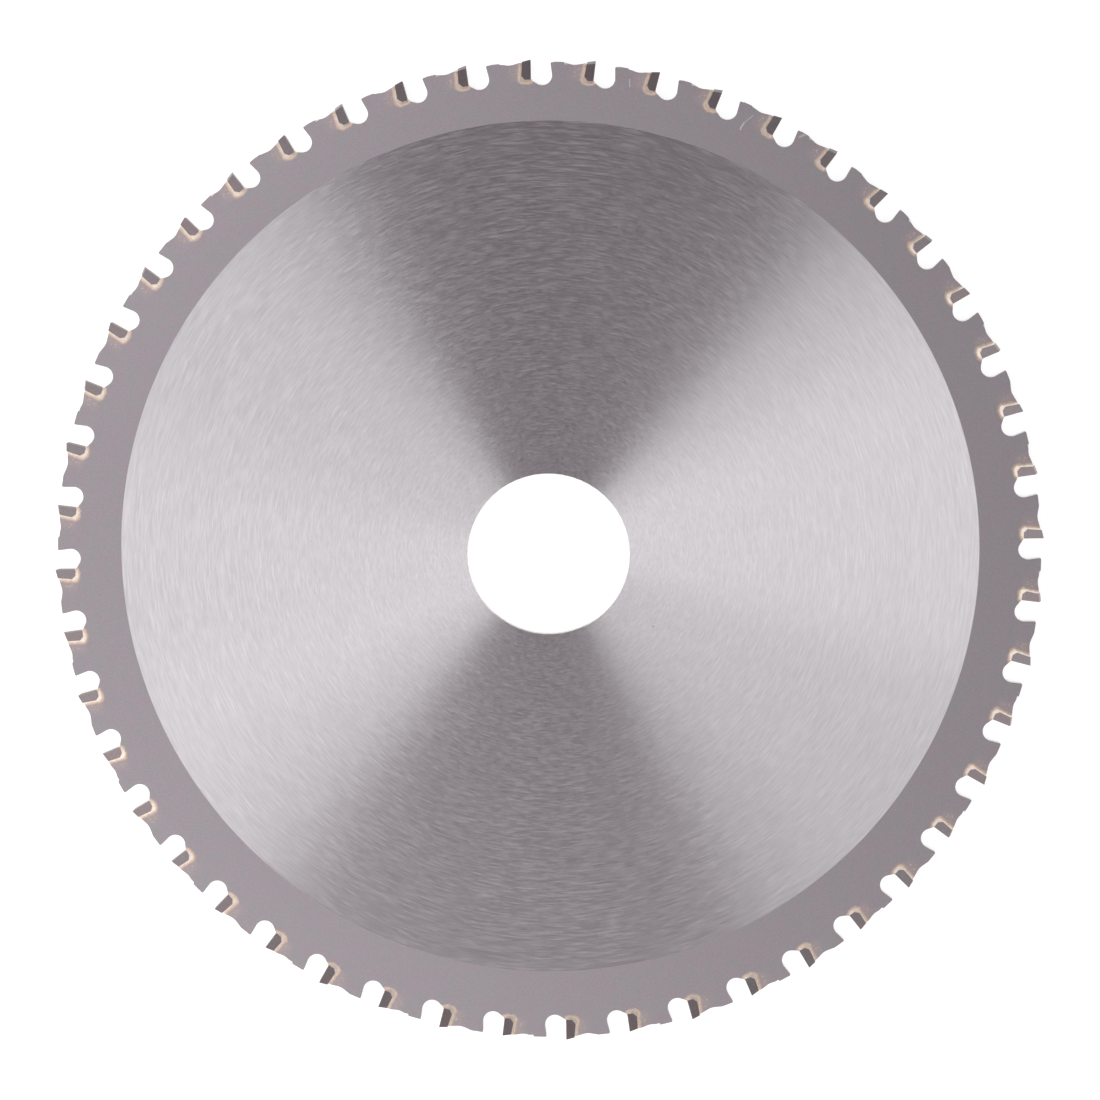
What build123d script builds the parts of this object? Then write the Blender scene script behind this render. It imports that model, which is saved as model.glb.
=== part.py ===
from build123d import *
from build123d.topology import SkipClean
import math
import os

# A carbide-tipped saw blade. It lies in the XY plane with its axis along +Z, and the origin is the bore's
# centre at half the plate's thickness. Seen from +Z it cuts clockwise. Sizes are millimetres and degrees.

# Blade
tip_circle_radius = 92.0
kerf = 2.0
tooth_count = 48
first_gullet_angle = 8.04

# Plate, with a ground centre that sits a little off the axis inside a blasted rim. The rim's width is taken
# from the gullets' floor inwards
plate_thickness = 1.6
bore_radius = 15.0
bore_chamfer = 0.12
blasted_rim_width = 7.43
ground_disc_offset = (0.2, 0.9)

# Gullet: a round floor, a ramp up to the tip's foot, and a flank that leans over the floor
gullet_depth = 4.77
gullet_radius = 1.83
flank_lean = 7.0

# Shoulder that limits the bite, and the dip between it and the next tip
shoulder_drop = 0.54
shoulder_chamfer = 0.2
dip_depth = 0.53
dip_radius = 3.0
land_share = 0.34
dip_share = 0.65

# Carbide tip
tip_length = 3.7
tip_top_width = 1.5
tip_lean = 4.9
tip_heel_chamfer = 0.7
throat_step = 0.28
relief_angle = 13.5
bevel_angle = 10.5
radial_clearance_angle = 0.9
tangential_clearance_angle = 1.8

# Facet that grinding the bevel leaves on the plate's back, from the tip to the shoulder
facet_drop = 0.13
facet_slope = 6.5
facet_end_gap = 0.3

# Braze between a tip and its seat, run out in a low fillet on both faces of the plate
braze_gap = 0.15
braze_toe_length = 0.2
braze_toe_height = 0.15
braze_fillet_width = 0.8
braze_fillet_height = 0.06

# Spare length of a cutting shape past what it cuts
overrun = 1.0

# Worked out from the sizes above, in a tooth's own frame: X runs along the rim the way the blade turns,
# Y runs outwards through the middle of the gullet
pitch_angle = 360 / tooth_count
half_plate = plate_thickness / 2
half_kerf = kerf / 2
shoulder_radius = tip_circle_radius - shoulder_drop
floor_radius = tip_circle_radius - gullet_depth
ground_disc_radius = floor_radius - blasted_rim_width
gullet_centre = Vector(0, floor_radius + gullet_radius)
rake_x = -(gullet_radius + throat_step)
corner_y = math.sqrt(tip_circle_radius**2 - rake_x**2)
foot_y = corner_y - tip_length
top_y = corner_y + overrun
up_flank = Vector(0, 1).rotate(Axis.Z, flank_lean)
up_heel = Vector(0, 1).rotate(Axis.Z, -tip_lean)


def tan_of(angle):
    return math.tan(math.radians(angle))


def on_circle(radius, angle):
    """Point at a radius from the blade's axis, at an angle before the gullet's middle."""
    return Vector(0, radius).rotate(Axis.Z, angle)


def angle_before(point):
    """How far a point lies before the gullet's middle, as an angle at the blade's axis."""
    return math.degrees(math.atan2(-point.X, point.Y))


def run_out(start, direction, radius):
    """Point where a line that leaves start reaches a circle about the blade's axis."""
    along = start.dot(direction)
    rise = math.sqrt(along**2 - start.dot(start) + radius**2)
    return start + direction * (rise - along)


def behind_tip(y, distance=0.0):
    """Point at height y on the tip's back, or on a line parallel to it some distance behind."""
    top_x = rake_x - tip_top_width - distance / math.cos(math.radians(tip_lean))
    return Vector(top_x - (corner_y - y) * tan_of(tip_lean), y)


def heel(distance=0.0):
    """Both ends of the chamfer at the tip's heel, or of a parallel line some distance outside it."""
    corner = behind_tip(foot_y - distance, distance)
    half_angle = math.radians(90 - tip_lean) / 2
    leg = tip_heel_chamfer + distance * (1 / math.sin(half_angle) - 1) / math.cos(half_angle)
    return corner + up_heel * leg, corner + Vector(leg, 0)


def ramp_foot(toe):
    """Point where the ramp from the seat's toe runs into the gullet's round floor."""
    reach = toe - gullet_centre
    swing = math.degrees(math.acos(gullet_radius / reach.length))
    return gullet_centre + (reach.normalized() * gullet_radius).rotate(Axis.Z, swing)


# Corners of one tooth's outline on the plate
seat_heel = heel(braze_gap)
seat_toe = Vector(rake_x + braze_toe_length, foot_y - braze_gap)
ramp_end = ramp_foot(seat_toe)
back_top = run_out(seat_heel[0], up_heel, shoulder_radius)
flank_foot = gullet_centre + Vector(gullet_radius, 0).rotate(Axis.Z, flank_lean)
shoulder_corner = run_out(flank_foot, up_flank, shoulder_radius)
flank_top = shoulder_corner - up_flank * shoulder_chamfer
land_start = shoulder_corner.rotate(Axis.Z, -math.degrees(shoulder_chamfer / shoulder_radius))
shoulder_angle = pitch_angle + angle_before(shoulder_corner)
back_span = shoulder_angle - angle_before(back_top)
land_end = on_circle(shoulder_radius, shoulder_angle - land_share * back_span)
dip = on_circle(shoulder_radius - dip_depth, shoulder_angle - dip_share * back_span)


def tooth_place(index):
    """Turn from a tooth's own frame to its place round the blade, counted anticlockwise from +X."""
    return Rot(0, 0, first_gullet_angle + index * pitch_angle - 90)


def bevel_side(index):
    """1 where a tooth's bevel falls towards +Z and -1 where it falls towards -Z, turn about."""
    return 1 if index % 2 == 0 else -1


def slab(face, half_height):
    """Face thickened evenly to both sides of the plate's middle."""
    return Pos(0, 0, -half_height) * extrude(face, 2 * half_height)


def tooth_outline():
    """Edges of the plate from the start of one shoulder, past the seat and gullet, to the next shoulder."""
    last_land_start = land_start.rotate(Axis.Z, pitch_angle)
    mid_land = ((last_land_start + land_end) / 2).normalized() * shoulder_radius
    gullet_floor = gullet_centre - Vector(0, gullet_radius)
    back = Wire(Polyline(land_end, dip, back_top, *seat_heel, seat_toe, ramp_end).edges())
    back = back.fillet_2d(dip_radius, [back.vertices().sort_by_distance(dip)[0]])
    return [
        Edge.make_three_point_arc(last_land_start, mid_land, land_end),
        *back.edges(),
        Edge.make_three_point_arc(ramp_end, gullet_floor, flank_foot),
        Edge.make_line(flank_foot, flank_top),
        Edge.make_line(flank_top, land_start),
    ]


def grinding_cut(side):
    """What the bevel grinding takes off the plate and braze behind a tip, down to one sloping facet."""
    end_x = land_end.X + facet_end_gap
    low_y = dip.Y - overrun
    window = Pos((end_x + rake_x) / 2, (low_y + top_y) / 2) * Rectangle(rake_x - end_x, top_y - low_y)
    block = slab(window, half_kerf + overrun)
    low_edge = Vector(back_top.X, back_top.Y - facet_drop, side * half_plate)
    facet = Plane(low_edge, z_dir=(-tan_of(facet_slope), 1, side * tan_of(bevel_angle)))
    return split(block, bisect_by=facet, keep=Keep.TOP)


def bored(disc):
    """Disc with the blade's bore through it, chamfered on both faces."""
    ring = disc - Cylinder(bore_radius, plate_thickness)
    bore_edges = ring.edges().filter_by(GeomType.CIRCLE).group_by(SortBy.RADIUS)[0]
    return chamfer(bore_edges, bore_chamfer)


def blade_body():
    """Steel plate with its gullets, shoulders, seats and bore, and the ground centre as faces of its own."""
    tooth = tooth_outline()
    edges = [tooth_place(i) * edge for i in range(tooth_count) for edge in tooth]
    blank = slab(make_face(edges), half_plate)
    cuts = {side: grinding_cut(side) for side in (1, -1)}
    blank -= [tooth_place(i) * cuts[bevel_side(i)] for i in range(tooth_count)]
    ground_disc = Pos(*ground_disc_offset) * Cylinder(ground_disc_radius, plate_thickness)
    with SkipClean():
        return (blank - ground_disc) + (blank & bored(ground_disc))


def tip_section():
    """Side view of a tip before its top is ground."""
    lower_heel, upper_heel = reversed(heel())
    corners = [(rake_x, top_y), (rake_x, foot_y), lower_heel, upper_heel, behind_tip(top_y)]
    return make_face(Polyline(*corners, close=True))


def carbide_tip(side):
    """Tip whose sides narrow towards its foot and heel, and whose top falls back and to one side."""
    tip = slab(tip_section(), half_kerf + overrun)
    for face in (1, -1):
        corner = (rake_x, corner_y, face * half_kerf)
        slope = (-tan_of(tangential_clearance_angle), -tan_of(radial_clearance_angle), face)
        tip = split(tip, bisect_by=Plane(corner, z_dir=slope), keep=Keep.BOTTOM)
    high_corner = (rake_x, corner_y, -side * half_kerf)
    top = Plane(high_corner, z_dir=(-tan_of(relief_angle), 1, side * tan_of(bevel_angle)))
    return split(tip, bisect_by=top, keep=Keep.BOTTOM)


def braze_layer():
    """Solder between the tip and the walls of its seat, with the room that the tip takes."""
    toe_top = (rake_x, foot_y + braze_toe_height)
    corners = [(rake_x, back_top.Y), back_top, *seat_heel, seat_toe, toe_top]
    return slab(make_face(Polyline(*corners, close=True)), half_plate)


def braze_fillet():
    """Solder that slopes from the tip's side down to the plate's face, with the room that the tip takes."""
    down_back = (dip - back_top).normalized()
    outer_back = behind_tip(back_top.Y, braze_fillet_width)
    back_end = back_top + down_back * ((outer_back.X - back_top.X) / down_back.X)
    corners = [(rake_x, back_top.Y), back_top, back_end, *heel(braze_fillet_width)]
    corners += [(rake_x, foot_y - braze_fillet_width)]
    slope = math.degrees(math.atan2(braze_fillet_width, braze_fillet_height))
    fillet_face = make_face(Polyline(*corners, close=True))
    return Pos(0, 0, half_plate) * extrude(fillet_face, braze_fillet_height, taper=slope)


def braze_seam(side):
    """Solder round one tip's heel and foot, ground off flush with the facet on the plate's back."""
    tip_block = slab(tip_section(), half_kerf + overrun)
    near = braze_fillet()
    return braze_layer() + near + mirror(near, Plane.XY) - tip_block - grinding_cut(side)


def place_all(make):
    """One copy of a piece for each tooth, with the bevel's side alternating."""
    kinds = {side: make(side) for side in (1, -1)}
    return [tooth_place(i) * kinds[bevel_side(i)] for i in range(tooth_count)]


def write(name, shape):
    export_step(shape, f"parts/{name}.step")


os.makedirs("parts", exist_ok=True)
write("blade_body", blade_body())
for number, tip in enumerate(place_all(carbide_tip), start=1):
    write(f"carbide_tip_{number:02d}", tip)
write("braze_seams", Compound([seam.solid() for seam in place_all(braze_seam)]))
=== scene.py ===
import math

import bpy
from mathutils import Matrix, Vector


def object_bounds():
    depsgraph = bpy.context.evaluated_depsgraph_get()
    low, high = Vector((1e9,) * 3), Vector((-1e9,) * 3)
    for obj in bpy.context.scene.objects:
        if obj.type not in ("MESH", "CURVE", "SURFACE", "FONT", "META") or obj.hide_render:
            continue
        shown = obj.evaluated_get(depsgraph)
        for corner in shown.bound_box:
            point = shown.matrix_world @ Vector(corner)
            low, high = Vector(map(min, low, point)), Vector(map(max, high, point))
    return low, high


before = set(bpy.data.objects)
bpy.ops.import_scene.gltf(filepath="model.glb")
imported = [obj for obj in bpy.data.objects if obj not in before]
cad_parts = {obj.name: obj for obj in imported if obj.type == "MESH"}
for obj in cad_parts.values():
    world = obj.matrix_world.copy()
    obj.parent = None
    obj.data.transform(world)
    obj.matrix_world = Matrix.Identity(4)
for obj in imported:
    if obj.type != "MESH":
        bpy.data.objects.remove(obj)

# A saw blade that lies on a white table under soft studio light. Everything is in metres, in the blade's
# own frame: the axis is +Z, and the bore's centre at half the plate's thickness is the origin.

cad_low, cad_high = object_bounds()
MM = 0.001

# The blade, with sizes in millimetres and degrees. From the tip on, places are in a tooth's own frame:
# X runs along the rim the way the blade turns, and Y runs outwards through the middle of the gullet
TIP_NODES = [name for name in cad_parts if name.startswith("carbide_tip")]
TOOTH_COUNT = len(TIP_NODES)
FIRST_GULLET_ANGLE = 8.04
GROUND_DISC_RADIUS = 79.8
GROUND_DISC_OFFSET = (0.2, 0.9)
TIP_RAKE_X, TIP_FOOT_Y = -2.11, 88.28
TIP_BACK_X, TIP_TOP_Y, TIP_LEAN = -3.61, 91.98, 4.9
TIP_HEEL_ROUNDING = 0.7
GULLET_HALF_WIDTH = 2.25
OUTER_WALL_Y = 88.5
SPLASH_X, SPLASH_Y, SPLASH_STRETCH = -5.3, 89.6, 1.3

# Colours
GROUND_COLOUR = (0.59, 0.558, 0.58)
BLASTED_COLOUR = (0.243, 0.208, 0.229)
BLASTED_GREY = (0.230, 0.215, 0.228)
TINTED_COLOUR = (0.335, 0.252, 0.240)
CUT_COLOUR = (0.22, 0.16, 0.14)
# Near-white colour of the ground walls and chamfers in the gullets and the bore: a painted highlight that
# lifts their real metal reflection of the table to white
EDGE_PAINTED_HIGHLIGHT_COLOUR = (0.93, 0.91, 0.90)
HALO_COLOUR = (0.50, 0.372, 0.288)
SPLASH_COLOUR = (0.39, 0.345, 0.31)
# Colour of the solder bead: bright solder, lifted near white as a painted highlight of its fillet
SOLDER_AND_HIGHLIGHT_COLOUR = (0.98, 0.86, 0.765)
CARBIDE_COLOUR = (0.308, 0.252, 0.26)
CARBIDE_GREY = (0.295, 0.262, 0.274)
FRESH_CARBIDE_COLOUR = (0.37, 0.32, 0.315)
SCRATCH_COLOUR = (0.52, 0.48, 0.50)
DIRT_COLOUR = (0.16, 0.13, 0.13)

# Share of the dull hairlines that isn't metallic, and how far the hairlines change the disc's colour
DULL_SHARE = 0.135
HAIR_CONTRAST = 0.2

# Marks on the upper face in millimetres: a line's points or a speck's centre, then its width and strength
SCRATCHES = [
    ([(35.70, 78.98), (35.83, 79.44), (36.34, 80.18)], 0.26, 0.75),
    ([(36.34, 80.18), (37.45, 81.10), (38.00, 81.56)], 0.18, 0.5),
    ([(15.26, 88.24), (15.33, 86.95)], 0.27, 0.42),
    ([(46.57, 77.58), (47.58, 78.04)], 0.4, 0.5),
]
SPECKS = [((19.40, -13.59), 0.3, 0.8), ((-44.22, 3.31), 0.25, 0.2), ((-44.11, 2.47), 0.3, 0.25)]

# The camera, worked out from the places of the teeth in the photograph
CAMERA_TILT_X = 7.719
CAMERA_TILT_Y = -1.664
CAMERA_DISTANCE = 1295.5
CAMERA_OFF_CENTRE = (-0.2433, -0.6630)
LENS = 227.85
SENSOR = 36.0

# The studio. The table lights the blade with its plain colour, and is seen as its faint colour plus a glow.
# A card is a wedge on the ceiling, given by the angles between which it lies about the mirror point and by
# its colour
TABLE_SIZE = 8.0
TABLE_COLOUR = (0.8, 0.8, 0.8)
TABLE_FAINT_COLOUR = (0.2, 0.2, 0.2)
TABLE_GLOW = 0.9
CEILING_HEIGHT = 3.5
CARD_NEAR, CARD_FAR = 0.03, 40.0
CARDS = {
    "pale_card_back": (31.0, 46.0, (0.9, 0.9, 0.9)),
    "dark_card_back": (46.0, 121.3, (0.015, 0.0, 0.008)),
    "grey_card_back": (121.3, 131.0, (0.9, 0.9, 0.9)),
    "dark_card_front": (233.7, 295.8, (0.42, 0.385, 0.405)),
    "grey_card_front": (295.8, 342.0, (0.85, 0.85, 0.85)),
}
SKY_STRENGTH = 1.25
LAMPS = {
    "back_lamp": {"place": (-0.13, 0.15, 0.08), "size": (0.1, 0.1), "power": 0.26, "in_gloss": False},
    "side_lamp": {"place": (-0.22, -0.20, 0.20), "size": (0.15, 0.15), "power": 1.2, "in_gloss": False},
    "front_lamp": {"place": (-0.09, -0.26, 0.20), "size": (0.6, 0.10), "power": 0.3, "in_gloss": True},
}


def plane_object(name, corners, material):
    mesh = bpy.data.meshes.new(name)
    mesh.from_pydata(corners, [], [list(range(len(corners)))])
    mesh.materials.append(material)
    obj = bpy.data.objects.new(name, mesh)
    bpy.context.scene.collection.objects.link(obj)


def make_camera():
    data = bpy.data.cameras.new("camera")
    data.lens = LENS
    data.sensor_width = SENSOR
    data.clip_start, data.clip_end = 0.05, 20.0
    camera = bpy.data.objects.new("camera", data)
    bpy.context.scene.collection.objects.link(camera)
    turn_x = Matrix.Rotation(math.radians(CAMERA_TILT_X), 4, "X")
    turn_y = Matrix.Rotation(math.radians(CAMERA_TILT_Y), 4, "Y")
    shift = Matrix.Translation(Vector((*CAMERA_OFF_CENTRE, -CAMERA_DISTANCE)) * MM)
    camera.matrix_world = (shift @ turn_y @ turn_x).inverted()
    bpy.context.scene.camera = camera


class Graph:
    """Small helper that adds nodes to one material's tree and links them."""

    def __init__(self, name):
        self.material = bpy.data.materials.new(name)
        self.material.use_nodes = True
        self.tree = self.material.node_tree
        self.tree.nodes.clear()
        self.output = self.tree.nodes.new("ShaderNodeOutputMaterial")

    def node(self, kind, inputs=None, **settings):
        node = self.tree.nodes.new(kind)
        for key, value in settings.items():
            setattr(node, key, value)
        for key, value in (inputs or {}).items():
            self.feed(node.inputs[key], value)
        return node

    def feed(self, socket, value):
        if isinstance(value, bpy.types.NodeSocket):
            self.tree.links.new(value, socket)
        elif isinstance(value, tuple) and len(value) == 3 and socket.type == "RGBA":
            socket.default_value = (*value, 1.0)
        else:
            socket.default_value = value

    def surface(self, shader):
        self.feed(self.output.inputs["Surface"], shader.outputs[0])
        return self.material

    def math(self, operation, *values, clamp=False):
        node = self.node("ShaderNodeMath", dict(enumerate(values)), operation=operation, use_clamp=clamp)
        return node.outputs[0]

    def combine(self, x, y, z):
        return self.node("ShaderNodeCombineXYZ", {"X": x, "Y": y, "Z": z}).outputs[0]

    def split(self, vector):
        node = self.node("ShaderNodeSeparateXYZ", {"Vector": vector})
        return node.outputs["X"], node.outputs["Y"], node.outputs["Z"]

    def length(self, x, y):
        node = self.node("ShaderNodeVectorMath", {0: self.combine(x, y, 0.0)}, operation="LENGTH")
        return node.outputs["Value"]

    def scale(self, vector, factor):
        """Vector or colour times a factor that may vary over the surface."""
        node = self.node("ShaderNodeVectorMath", {"Vector": vector, "Scale": factor}, operation="SCALE")
        return node.outputs["Vector"]

    def ramp(self, value, low, high, to_low=0.0, to_high=1.0):
        """Smooth step from to_low to to_high as value goes from low to high."""
        inputs = {"Value": value, "From Min": low, "From Max": high, "To Min": to_low, "To Max": to_high}
        return self.node("ShaderNodeMapRange", inputs, interpolation_type="SMOOTHSTEP").outputs["Result"]

    def noise(self, vector, scale=1.0, detail=2.0, roughness=0.6):
        inputs = {"Vector": vector, "Scale": scale, "Detail": detail, "Roughness": roughness}
        return self.node("ShaderNodeTexNoise", inputs).outputs["Fac"]

    def mix(self, factor, first, second):
        node = self.node("ShaderNodeMix", data_type="RGBA")
        self.feed(node.inputs[0], factor)
        self.feed(node.inputs[6], first)
        self.feed(node.inputs[7], second)
        return node.outputs[2]

    def bump(self, height, strength, depth):
        inputs = {"Strength": strength, "Distance": depth * MM, "Height": height}
        return self.node("ShaderNodeBump", inputs).outputs[0]

    def millimetres(self):
        return self.scale(self.node("ShaderNodeTexCoord").outputs["Object"], 1 / MM)

    def upward(self):
        """How squarely the surface faces up or down: 1 on the flat faces, 0 on the walls."""
        normal = self.node("ShaderNodeNewGeometry").outputs["True Normal"]
        return self.math("ABSOLUTE", self.split(normal)[2])

    def round_tangent(self, point):
        """Direction of the hairlines, along circles about the blade's axis."""
        x, y, _ = self.split(point)
        along = self.combine(self.math("MULTIPLY", y, -1.0), x, 0.0)
        return self.node("ShaderNodeVectorMath", {0: along}, operation="NORMALIZE").outputs["Vector"]


def around(graph, point, centre=(0.0, 0.0)):
    """Radius and angle of a point about an upright axis through centre."""
    x, y, _ = graph.split(point)
    x = graph.math("SUBTRACT", x, centre[0])
    y = graph.math("SUBTRACT", y, centre[1])
    return graph.length(x, y), graph.math("ARCTAN2", y, x)


def streaks(graph, radius, angle, width, length):
    """Noise drawn out along circles about the axis: width and length in millimetres at mid radius."""
    middle = 50.0
    x = graph.math("MULTIPLY", graph.math("COSINE", angle), middle / length)
    y = graph.math("MULTIPLY", graph.math("SINE", angle), middle / length)
    return graph.noise(graph.combine(x, y, graph.math("DIVIDE", radius, width)))


def tooth_frame(graph, point):
    """Place in a tooth's own frame. The seam between two frames lies on a land."""
    radius, angle = around(graph, point)
    pitch = 2 * math.pi / TOOTH_COUNT
    shift = math.radians(2.0)
    start = math.radians(FIRST_GULLET_ANGLE) + shift
    turns = graph.math("DIVIDE", graph.math("SUBTRACT", angle, start), pitch)
    part = graph.math("SUBTRACT", turns, graph.math("ROUND", turns))
    local = graph.math("MULTIPLY_ADD", part, pitch, shift)
    x = graph.math("MULTIPLY", graph.math("MULTIPLY", radius, graph.math("SINE", local)), -1.0)
    return x, graph.math("MULTIPLY", radius, graph.math("COSINE", local))


def tip_distance(graph, x, y):
    """Distance on the plate's face from the outline of the nearest tip, round at the tip's heel."""
    lean = math.tan(math.radians(TIP_LEAN))
    back_x = graph.math("MULTIPLY_ADD", y, lean, TIP_BACK_X - TIP_TOP_Y * lean)
    behind = graph.math("SUBTRACT", back_x, x)
    ahead = graph.math("SUBTRACT", x, TIP_RAKE_X)
    below = graph.math("SUBTRACT", TIP_FOOT_Y + TIP_HEEL_ROUNDING, y)
    aside = graph.math("ADD", graph.math("MAXIMUM", behind, ahead), TIP_HEEL_ROUNDING)
    corner = graph.length(graph.math("MAXIMUM", aside, 0.0), graph.math("MAXIMUM", below, 0.0))
    return graph.math("SUBTRACT", corner, TIP_HEEL_ROUNDING)


def outer_wall(graph, point):
    """1 on the walls of the shoulders and of the dips behind the tips, 0 in the gullets and the bore."""
    x, y = tooth_frame(graph, point)
    aside = graph.ramp(graph.math("ABSOLUTE", x), GULLET_HALF_WIDTH - 0.05, GULLET_HALF_WIDTH + 0.05)
    return graph.math("MULTIPLY", aside, graph.ramp(y, OUTER_WALL_Y - 0.5, OUTER_WALL_Y + 0.5))


def line_distance(graph, point, start, end):
    """Distance on the plate's face from a straight line between two points."""
    run = Vector(end) - Vector(start)
    x, y, _ = graph.split(point)
    x = graph.math("SUBTRACT", x, start[0])
    y = graph.math("SUBTRACT", y, start[1])
    along = graph.math("MULTIPLY", y, run.y / run.length_squared)
    along = graph.math("MULTIPLY_ADD", x, run.x / run.length_squared, along, clamp=True)
    x = graph.math("MULTIPLY_ADD", along, -run.x, x)
    return graph.length(x, graph.math("MULTIPLY_ADD", along, -run.y, y))


def mark(graph, distance, width, strength):
    """Strength of one mark at a distance from its middle, 0 away from it."""
    return graph.ramp(distance, 0.2 * width, 0.7 * width, strength, 0.0)


def scratch_strength(graph, point):
    """Strength of the scratches, 0 away from them."""
    strongest = 0.0
    for points, width, strength in SCRATCHES:
        for start, end in zip(points, points[1:]):
            distance = line_distance(graph, point, start, end)
            strongest = graph.math("MAXIMUM", strongest, mark(graph, distance, width, strength))
    return strongest


def speck_strength(graph, point):
    """Strength of the dark specks, 0 away from them."""
    strongest = 0.0
    for centre, width, strength in SPECKS:
        distance, _ = around(graph, point, centre)
        strongest = graph.math("MAXIMUM", strongest, mark(graph, distance, width, strength))
    return strongest


def rim_colour(graph, point):
    """Colour of the blasted steel, with the braze's halo round each tip and its splashes behind it."""
    grain = graph.noise(point, scale=3.5, detail=3.0, roughness=0.7)
    cloud = graph.noise(point, scale=0.45, detail=3.0, roughness=0.6)
    colour = graph.mix(graph.ramp(cloud, 0.35, 0.65), BLASTED_COLOUR, BLASTED_GREY)
    colour = graph.scale(colour, graph.ramp(grain, 0.25, 0.75, 0.92, 1.08))

    x, y = tooth_frame(graph, point)
    distance = tip_distance(graph, x, y)
    near_tip = graph.ramp(distance, 0.7, 3.5, 0.4, 0.0)
    tint = graph.math("MULTIPLY", near_tip, graph.ramp(y, OUTER_WALL_Y - 1.0, OUTER_WALL_Y))
    colour = graph.mix(tint, colour, TINTED_COLOUR)
    ragged = graph.noise(point, scale=1.6, detail=3.0)
    distance = graph.math("ADD", distance, graph.ramp(y, TIP_FOOT_Y - 0.2, TIP_FOOT_Y + 0.6, 0.0, 0.25))
    halo_distance = graph.math("ADD", distance, graph.ramp(ragged, 0.3, 0.7, -0.1, 0.1))
    halo = graph.ramp(halo_distance, 0.58, 1.12, 1.0, 0.0)
    off_x = graph.math("SUBTRACT", x, SPLASH_X)
    off_y = graph.math("DIVIDE", graph.math("SUBTRACT", y, SPLASH_Y), SPLASH_STRETCH)
    near_splash = graph.ramp(graph.length(off_x, off_y), 0.3, 1.1, 1.0, 0.0)
    drops = graph.ramp(graph.noise(point, scale=2.4, detail=1.0), 0.55, 0.70)
    colour = graph.mix(graph.math("MULTIPLY", drops, near_splash), colour, SPLASH_COLOUR)
    return graph.mix(halo, colour, HALO_COLOUR), distance, grain


def blasted_shader(graph, colour, grain):
    """Dull grained surface of the rim and of the solder that runs out on it."""
    return graph.node("ShaderNodeBsdfPrincipled", {
        "Base Color": colour,
        "Metallic": 0.4,
        "Roughness": 0.6,
        "Normal": graph.bump(grain, 0.3, 0.03),
    })


def ground_shader(graph, point, inputs):
    """Metal with hairlines along circles about the blade's axis."""
    return graph.node("ShaderNodeBsdfPrincipled", {
        "Metallic": 1.0,
        "Anisotropic": 0.95,
        "Anisotropic Rotation": 0.25,
        "Tangent": graph.round_tangent(point),
        **inputs,
    })


def plate_material():
    """Steel: a ground middle with circular hairlines, a blasted rim, and walls that are brown outside."""
    g = Graph("plate_steel")
    point = g.millimetres()
    disc_radius, disc_angle = around(g, point, GROUND_DISC_OFFSET)
    flat = g.ramp(g.upward(), 0.9, 0.98)
    edge = g.math("SUBTRACT", 1.0, flat)
    brown = g.math("MULTIPLY", outer_wall(g, point), g.ramp(g.upward(), 0.05, 0.25, 1.0, 0.3))
    brown = g.math("MULTIPLY", brown, edge)
    upper = g.ramp(g.split(point)[2], 0.0, 0.1)
    scratches = g.math("MULTIPLY", scratch_strength(g, point), upper)
    specks = g.math("MULTIPLY", speck_strength(g, point), upper)

    short = streaks(g, disc_radius, disc_angle, 0.17, 2.2)
    fine = g.ramp(short, 0.3, 0.7)
    long = g.ramp(streaks(g, disc_radius, disc_angle, 0.3, 6.0), 0.4, 0.75)
    hair = g.math("MULTIPLY_ADD", long, 0.4, g.math("MULTIPLY", fine, 0.6))
    disc_colour = g.scale(GROUND_COLOUR, g.math("MULTIPLY_ADD", hair, HAIR_CONTRAST, 1 - HAIR_CONTRAST / 2))
    dull = g.ramp(short, 0.45, 0.7)
    ground = ground_shader(g, point, {
        # Walls and chamfers get the near-white colour, a painted highlight on top of their real reflection
        "Base Color": g.mix(edge, g.mix(specks, disc_colour, DIRT_COLOUR), EDGE_PAINTED_HIGHLIGHT_COLOUR),
        "Metallic": g.math("MULTIPLY_ADD", dull, -DULL_SHARE, 1.0),
        "Roughness": 0.28,
        "Anisotropic": 1.0,
        "Normal": g.bump(fine, 0.1, 0.02),
    })

    colour, _, grain = rim_colour(g, point)
    colour = g.mix(scratches, colour, SCRATCH_COLOUR)
    blasted = blasted_shader(g, g.mix(brown, colour, CUT_COLOUR), grain)

    inside = g.ramp(disc_radius, GROUND_DISC_RADIUS - 0.08, GROUND_DISC_RADIUS + 0.08, 1.0, 0.0)
    share = g.math("MAXIMUM", g.math("MULTIPLY", inside, flat), g.math("SUBTRACT", edge, brown, clamp=True))
    return g.surface(g.node("ShaderNodeMixShader", {0: share, 1: blasted.outputs[0], 2: ground.outputs[0]}))


def carbide_material():
    """Ground carbide: dark and grained like the disc on its sides, fresher on its top and its rake."""
    g = Graph("carbide")
    point = g.millimetres()
    grain = g.noise(point, scale=4.0, detail=3.0, roughness=0.7)
    from_tip_to_tip = g.noise(point, scale=0.08)
    colour = g.mix(g.ramp(from_tip_to_tip, 0.4, 0.6), CARBIDE_COLOUR, CARBIDE_GREY)
    colour = g.mix(g.ramp(g.upward(), 0.97, 0.99, 1.0, 0.0), colour, FRESH_CARBIDE_COLOUR)
    return g.surface(ground_shader(g, point, {
        "Base Color": g.scale(colour, g.ramp(grain, 0.25, 0.75, 0.88, 1.12)),
        "Roughness": 0.39,
        "Normal": g.bump(grain, 0.2, 0.02),
    }))


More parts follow.
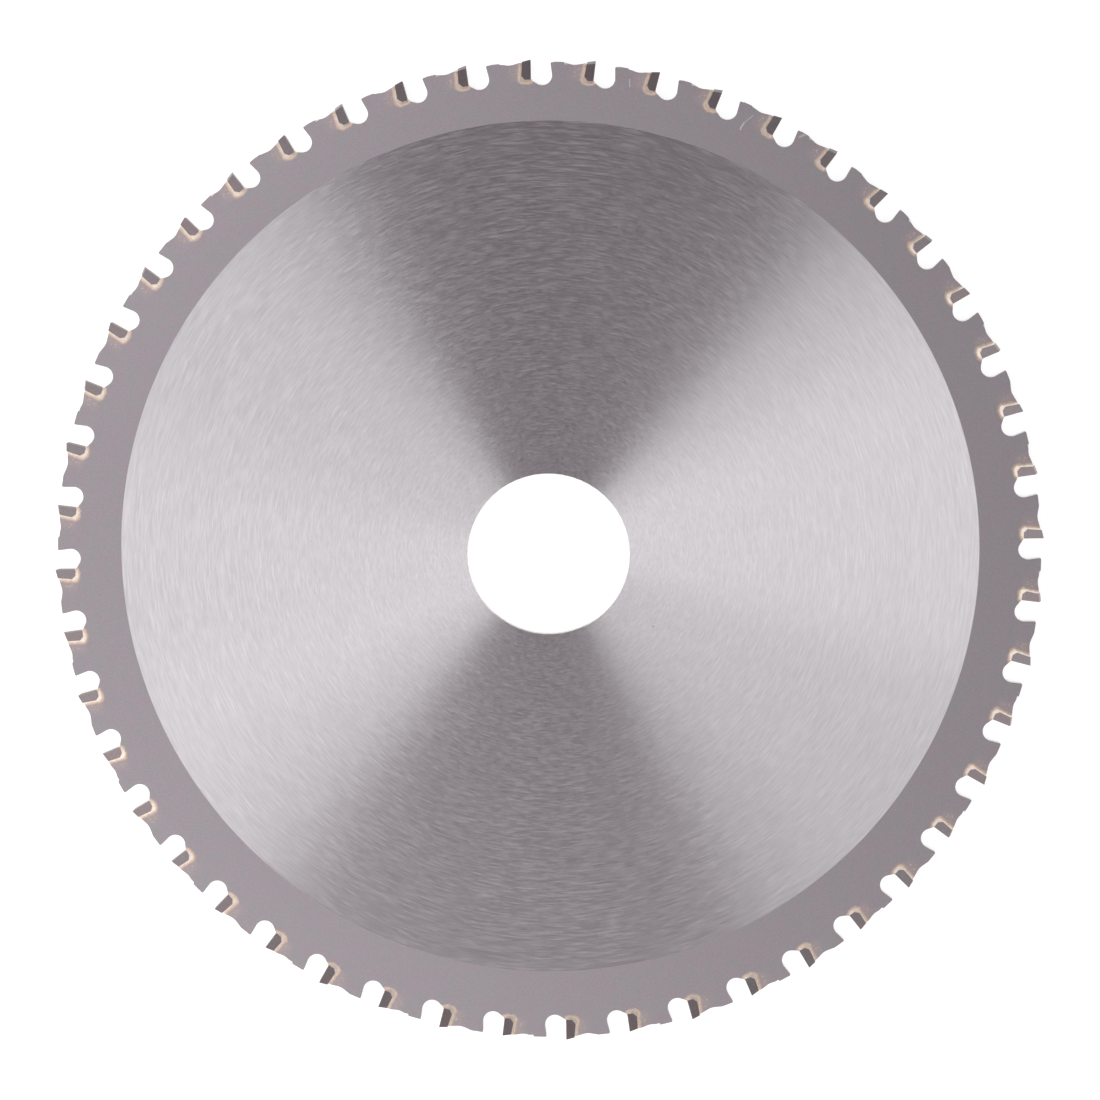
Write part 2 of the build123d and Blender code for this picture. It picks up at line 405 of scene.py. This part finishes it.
def braze_material():
    """Solder: a bead ground bright against the tip, its colour lifted as a painted highlight, running out
    into a dull tan halo on the plate.
    """
    g = Graph("braze")
    point = g.millimetres()
    colour, distance, grain = rim_colour(g, point)
    waver = g.noise(point, scale=1.8)
    distance = g.math("ADD", distance, g.ramp(waver, 0.3, 0.7, -0.08, 0.08))
    # The bead has the solder's bright colour, which is also a painted highlight along the fillet
    bead = g.ramp(distance, 0.3, 0.72, 1.0, 0.0)
    halo = blasted_shader(g, colour, grain)
    ground = ground_shader(g, point, {
        "Base Color": SOLDER_AND_HIGHLIGHT_COLOUR,
        "Roughness": 0.44,
        "Normal": g.bump(grain, 0.4, 0.04),
    })
    return g.surface(g.node("ShaderNodeMixShader", {0: bead, 1: halo.outputs[0], 2: ground.outputs[0]}))


def table_material():
    """White table: seen straight on it is white with a faint shadow, and it lights the blade like paper."""
    g = Graph("table")
    rays = g.node("ShaderNodeLightPath")
    seen = g.math("MAXIMUM", rays.outputs["Is Camera Ray"], rays.outputs["Is Glossy Ray"])
    seen = g.math("MAXIMUM", seen, rays.outputs["Is Transmission Ray"])
    plain = g.node("ShaderNodeBsdfDiffuse", {"Color": TABLE_COLOUR})
    faint = g.node("ShaderNodeBsdfDiffuse", {"Color": TABLE_FAINT_COLOUR})
    glow = g.node("ShaderNodeEmission", {"Color": (1.0, 1.0, 1.0), "Strength": TABLE_GLOW})
    white = g.node("ShaderNodeAddShader", {0: faint.outputs[0], 1: glow.outputs[0]})
    return g.surface(g.node("ShaderNodeMixShader", {0: seen, 1: plain.outputs[0], 2: white.outputs[0]}))


def card_material(name, colour):
    g = Graph(name)
    return g.surface(g.node("ShaderNodeBsdfDiffuse", {"Color": colour}))


def make_studio():
    """White table and sky, with the wedges on the ceiling that the ground steel mirrors."""
    half, floor_z = TABLE_SIZE / 2, cad_low.z
    corners = [(x * half, y * half, floor_z) for x, y in ((-1, -1), (1, -1), (1, 1), (-1, 1))]
    plane_object("table", corners, table_material())

    mirror_x = CEILING_HEIGHT * math.tan(math.radians(CAMERA_TILT_Y))
    mirror_y = -CEILING_HEIGHT * math.tan(math.radians(CAMERA_TILT_X))
    for name, (start, end, colour) in CARDS.items():
        corners = []
        for radius, angle in ((CARD_NEAR, start), (CARD_FAR, start), (CARD_FAR, end), (CARD_NEAR, end)):
            x = mirror_x + radius * math.cos(math.radians(angle))
            y = mirror_y + radius * math.sin(math.radians(angle))
            corners.append((x, y, CEILING_HEIGHT))
        plane_object(name, corners, card_material(name, colour))

    world = bpy.data.worlds.new("sky")
    bpy.context.scene.world = world
    world.use_nodes = True
    background = world.node_tree.nodes["Background"]
    background.inputs["Color"].default_value = (1.0, 1.0, 1.0, 1.0)
    background.inputs["Strength"].default_value = SKY_STRENGTH


def make_lamp(name, place, size, power, in_gloss):
    """Soft rectangular lamp that shines on the blade's centre and isn't seen itself."""
    lamp = bpy.data.lights.new(name, "AREA")
    lamp.shape = "RECTANGLE"
    lamp.size, lamp.size_y = size
    lamp.energy = power
    obj = bpy.data.objects.new(name, lamp)
    bpy.context.scene.collection.objects.link(obj)
    obj.location = place
    obj.rotation_euler = Vector(place).to_track_quat("Z", "Y").to_euler()
    obj.visible_camera = False
    obj.visible_glossy = in_gloss


def dress(name, material):
    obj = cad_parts[name]
    obj.data.materials.clear()
    obj.data.materials.append(material)


make_camera()
make_studio()
for lamp_name, facts in LAMPS.items():
    make_lamp(lamp_name, **facts)
dress("blade_body", plate_material())
dress("braze_seams", braze_material())
carbide = carbide_material()
for tip_name in TIP_NODES:
    dress(tip_name, carbide)

bpy.context.scene.view_settings.view_transform = "Standard"
